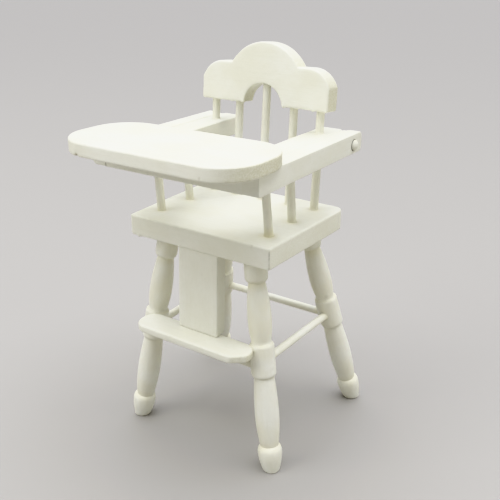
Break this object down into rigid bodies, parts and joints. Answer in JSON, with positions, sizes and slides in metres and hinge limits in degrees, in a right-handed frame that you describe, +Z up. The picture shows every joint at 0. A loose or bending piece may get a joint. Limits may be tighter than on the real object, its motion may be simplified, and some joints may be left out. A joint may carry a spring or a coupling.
{
  "type": "dolls house high chair",
  "caption": "Miniature painted wooden high chair with splayed turned legs, spindle back and arms, arched crest rail, footrest and a round-ended tray that swings over the back.",
  "frame": {"origin": "on the floor, under the middle of the chair's overall box", "axes": "+Z up, -Y towards the tray and footrest (the way the sitter faces), +X to the right as seen from the front; left and right in node names are as seen from the front"},
  "size_m": [0.05, 0.06, 0.096],
  "materials": {
    "painted_wood": "satin ivory-white paint over wood",
    "pin": "steel nail painted over with the chair's ivory paint"
  },
  "bodies": {
    "frame": {"arm_spindle_front_left": "painted_wood", "arm_spindle_front_right": "painted_wood", "arm_spindle_mid_left": "painted_wood", "arm_spindle_mid_right": "painted_wood", "armrest_left": "painted_wood", "armrest_right": "painted_wood", "back_spindle_centre": "painted_wood", "back_spindle_inner_left": "painted_wood", "back_spindle_inner_right": "painted_wood", "back_spindle_outer_left": "painted_wood", "back_spindle_outer_right": "painted_wood", "calf_board": "painted_wood", "crest_rail": "painted_wood", "footrest": "painted_wood", "front_stretcher": "painted_wood", "leg_front_left": "painted_wood", "leg_front_right": "painted_wood", "leg_rear_left": "painted_wood", "leg_rear_right": "painted_wood", "pivot_pin_left": "pin", "pivot_pin_right": "pin", "rear_stretcher": "painted_wood", "seat_board": "painted_wood", "side_stretcher_left": "painted_wood", "side_stretcher_right": "painted_wood"},
    "tray": {"tray_arm_left": "painted_wood", "tray_arm_right": "painted_wood", "tray_board": "painted_wood", "tray_cross_rail": "painted_wood"}
  },
  "joints": [
    {"name": "tray_lift", "type": "hinge", "parent": "frame", "child": "tray", "pos_m": [0, 0.02098, 0.07347], "axis": [-1, 0, 0], "range_deg": [0, 256]}
  ]
}
